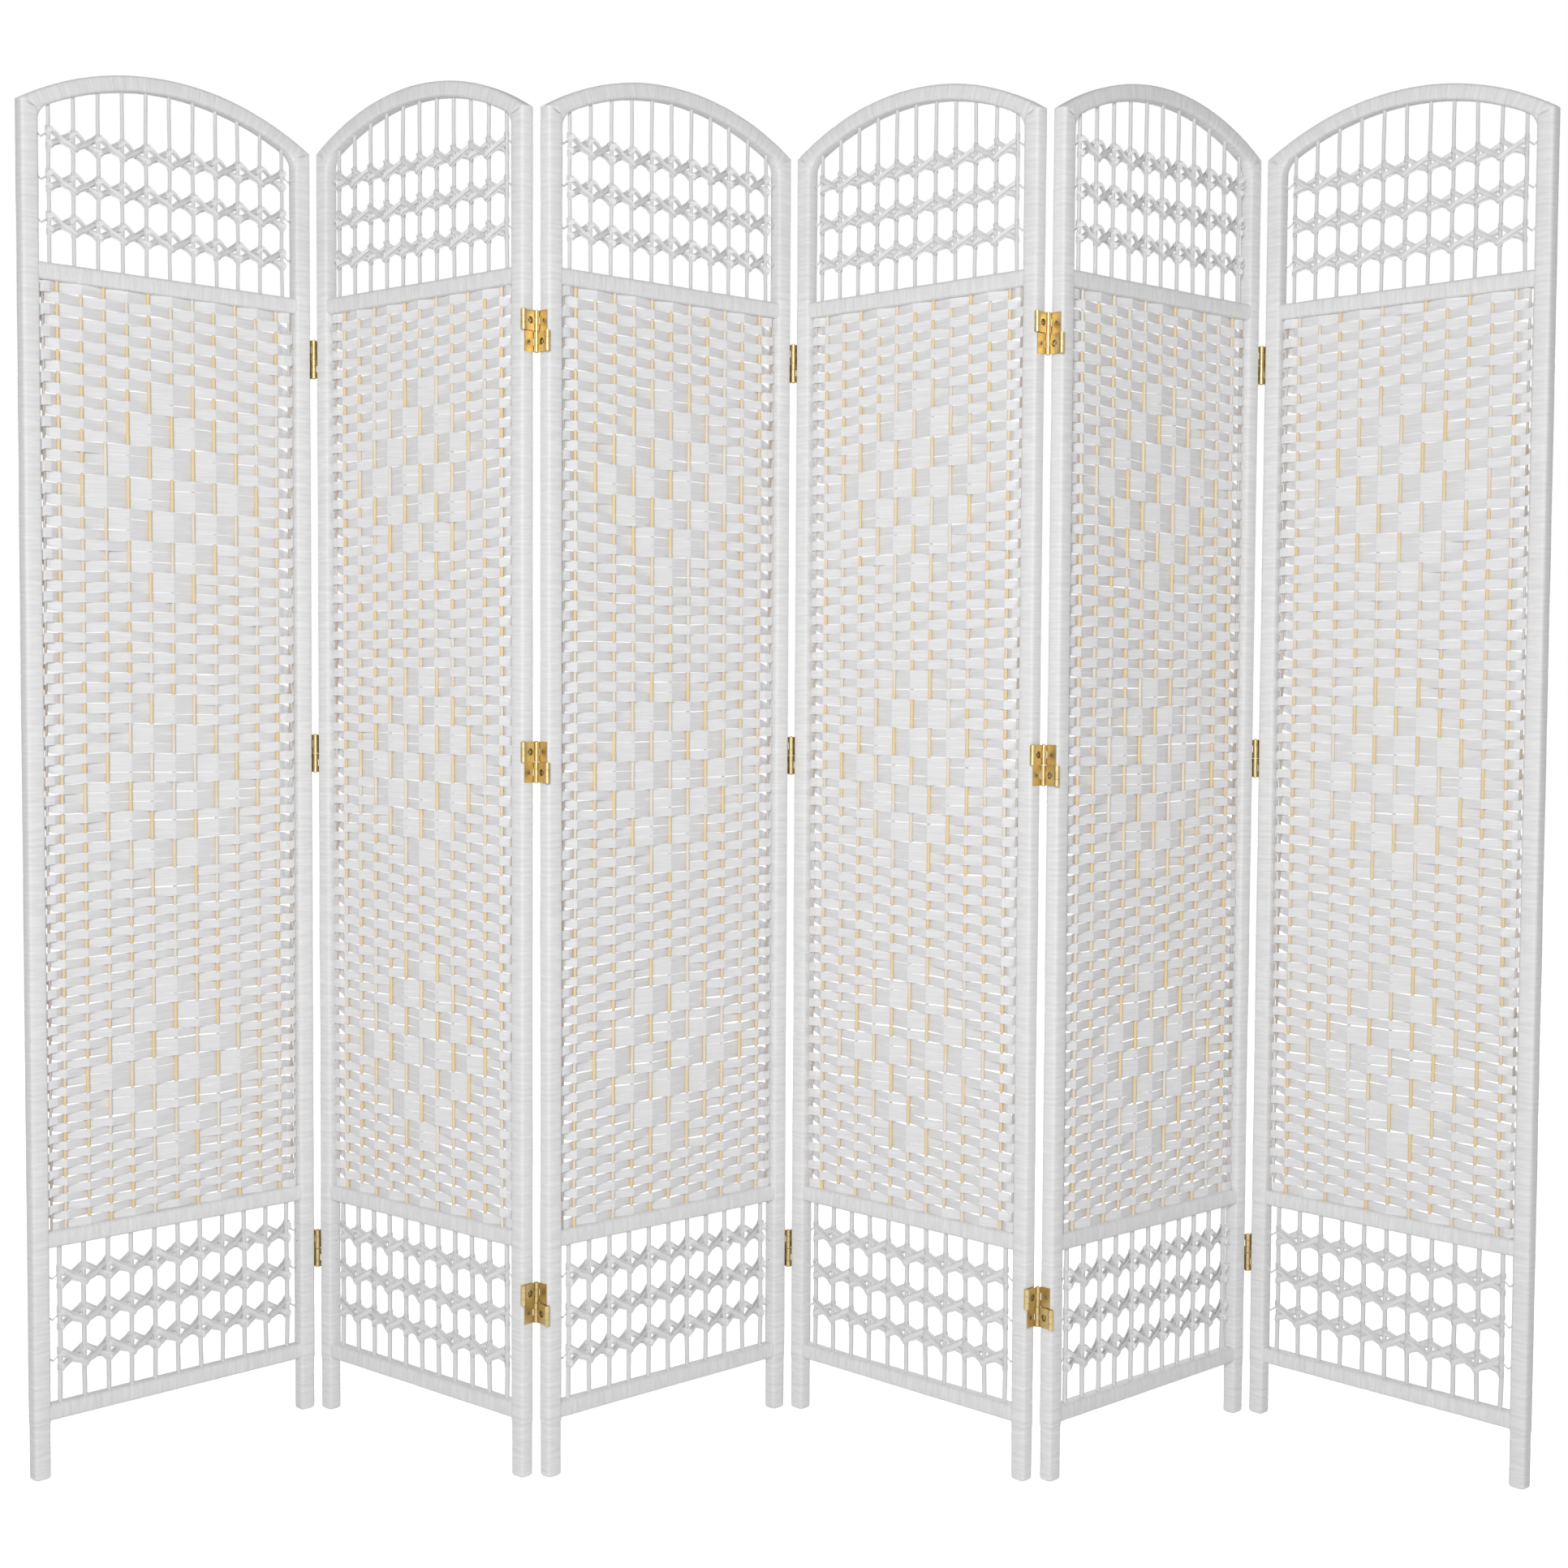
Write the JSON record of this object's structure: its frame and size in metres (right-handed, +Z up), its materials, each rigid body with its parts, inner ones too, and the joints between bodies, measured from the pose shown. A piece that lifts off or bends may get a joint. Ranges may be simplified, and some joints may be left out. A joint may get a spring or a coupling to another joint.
{
  "type": "folding screen",
  "caption": "Tall free-standing folding screen of woven paper panels with wound posts, arched tops and brass double-acting hinges, set up in a zigzag.",
  "frame": {"origin": "middle of the screen's plan box, on the floor", "axes": "+X along the zigzag towards panel 6 at the viewer's right, +Y away from the viewer, +Z up"},
  "size_m": [1.816, 0.3196, 1.704],
  "materials": {
    "wound_fiber": "wooden pole wound closely with white twisted paper cord",
    "stake_wood": "bare pale wood",
    "woven_paper": "flat ribbons of white twisted paper, matte with fine ribs",
    "twisted_paper": "white twisted paper strips round white spokes, matte",
    "hinge_brass": "bright polished brass plate"
  },
  "bodies": {
    "panel_1": {"panel_1_posts": "wound_fiber", "panel_1_arch_rail": "wound_fiber", "panel_1_cross_rails": "wound_fiber", "panel_1_stakes": "stake_wood", "panel_1_ribbons": "woven_paper", "panel_1_lattices": "twisted_paper", "panel_1_hinge_leaves": "hinge_brass", "panel_1_hinge_links": "hinge_brass", "panel_1_hinge_pins": "hinge_brass", "panel_1_hinge_screws": "hinge_brass"},
    "panel_2": {"panel_2_posts": "wound_fiber", "panel_2_arch_rail": "wound_fiber", "panel_2_cross_rails": "wound_fiber", "panel_2_stakes": "stake_wood", "panel_2_ribbons": "woven_paper", "panel_2_lattices": "twisted_paper", "panel_2_hinge_leaves": "hinge_brass", "panel_2_hinge_links": "hinge_brass", "panel_2_hinge_pins": "hinge_brass", "panel_2_hinge_screws": "hinge_brass"},
    "panel_3": {"panel_3_posts": "wound_fiber", "panel_3_arch_rail": "wound_fiber", "panel_3_cross_rails": "wound_fiber", "panel_3_stakes": "stake_wood", "panel_3_ribbons": "woven_paper", "panel_3_lattices": "twisted_paper", "panel_3_hinge_leaves": "hinge_brass", "panel_3_hinge_links": "hinge_brass", "panel_3_hinge_pins": "hinge_brass", "panel_3_hinge_screws": "hinge_brass"},
    "panel_4": {"panel_4_posts": "wound_fiber", "panel_4_arch_rail": "wound_fiber", "panel_4_cross_rails": "wound_fiber", "panel_4_stakes": "stake_wood", "panel_4_ribbons": "woven_paper", "panel_4_lattices": "twisted_paper", "panel_4_hinge_leaves": "hinge_brass", "panel_4_hinge_links": "hinge_brass", "panel_4_hinge_pins": "hinge_brass", "panel_4_hinge_screws": "hinge_brass"},
    "panel_5": {"panel_5_posts": "wound_fiber", "panel_5_arch_rail": "wound_fiber", "panel_5_cross_rails": "wound_fiber", "panel_5_stakes": "stake_wood", "panel_5_ribbons": "woven_paper", "panel_5_lattices": "twisted_paper", "panel_5_hinge_leaves": "hinge_brass", "panel_5_hinge_links": "hinge_brass", "panel_5_hinge_pins": "hinge_brass", "panel_5_hinge_screws": "hinge_brass"},
    "panel_6": {"panel_6_posts": "wound_fiber", "panel_6_arch_rail": "wound_fiber", "panel_6_cross_rails": "wound_fiber", "panel_6_stakes": "stake_wood", "panel_6_ribbons": "woven_paper", "panel_6_lattices": "twisted_paper", "panel_6_hinge_leaves": "hinge_brass", "panel_6_hinge_links": "hinge_brass", "panel_6_hinge_pins": "hinge_brass", "panel_6_hinge_screws": "hinge_brass"}
  },
  "joints": [
    {"name": "fold_1_2", "type": "hinge", "parent": "panel_2", "child": "panel_1", "pos_m": [-0.61533, 0.1277, 0.871], "axis": [0, 0, 1], "range_deg": [-87.5, 92.5]},
    {"name": "fold_2_3", "type": "hinge", "parent": "panel_3", "child": "panel_2", "pos_m": [-0.29734, -0.12559, 0.871], "axis": [0, 0, -1], "range_deg": [-85.5, 94.5]},
    {"name": "fold_3_4", "type": "hinge", "parent": "panel_3", "child": "panel_4", "pos_m": [0.0093, 0.14133, 0.871], "axis": [0, 0, -1], "range_deg": [-89, 91]},
    {"name": "fold_4_5", "type": "hinge", "parent": "panel_4", "child": "panel_5", "pos_m": [0.31123, -0.1309, 0.871], "axis": [0, 0, 1], "range_deg": [-88.5, 91.5]},
    {"name": "fold_5_6", "type": "hinge", "parent": "panel_5", "child": "panel_6", "pos_m": [0.62019, 0.13334, 0.871], "axis": [0, 0, -1], "range_deg": [-90.5, 89.5]}
  ]
}
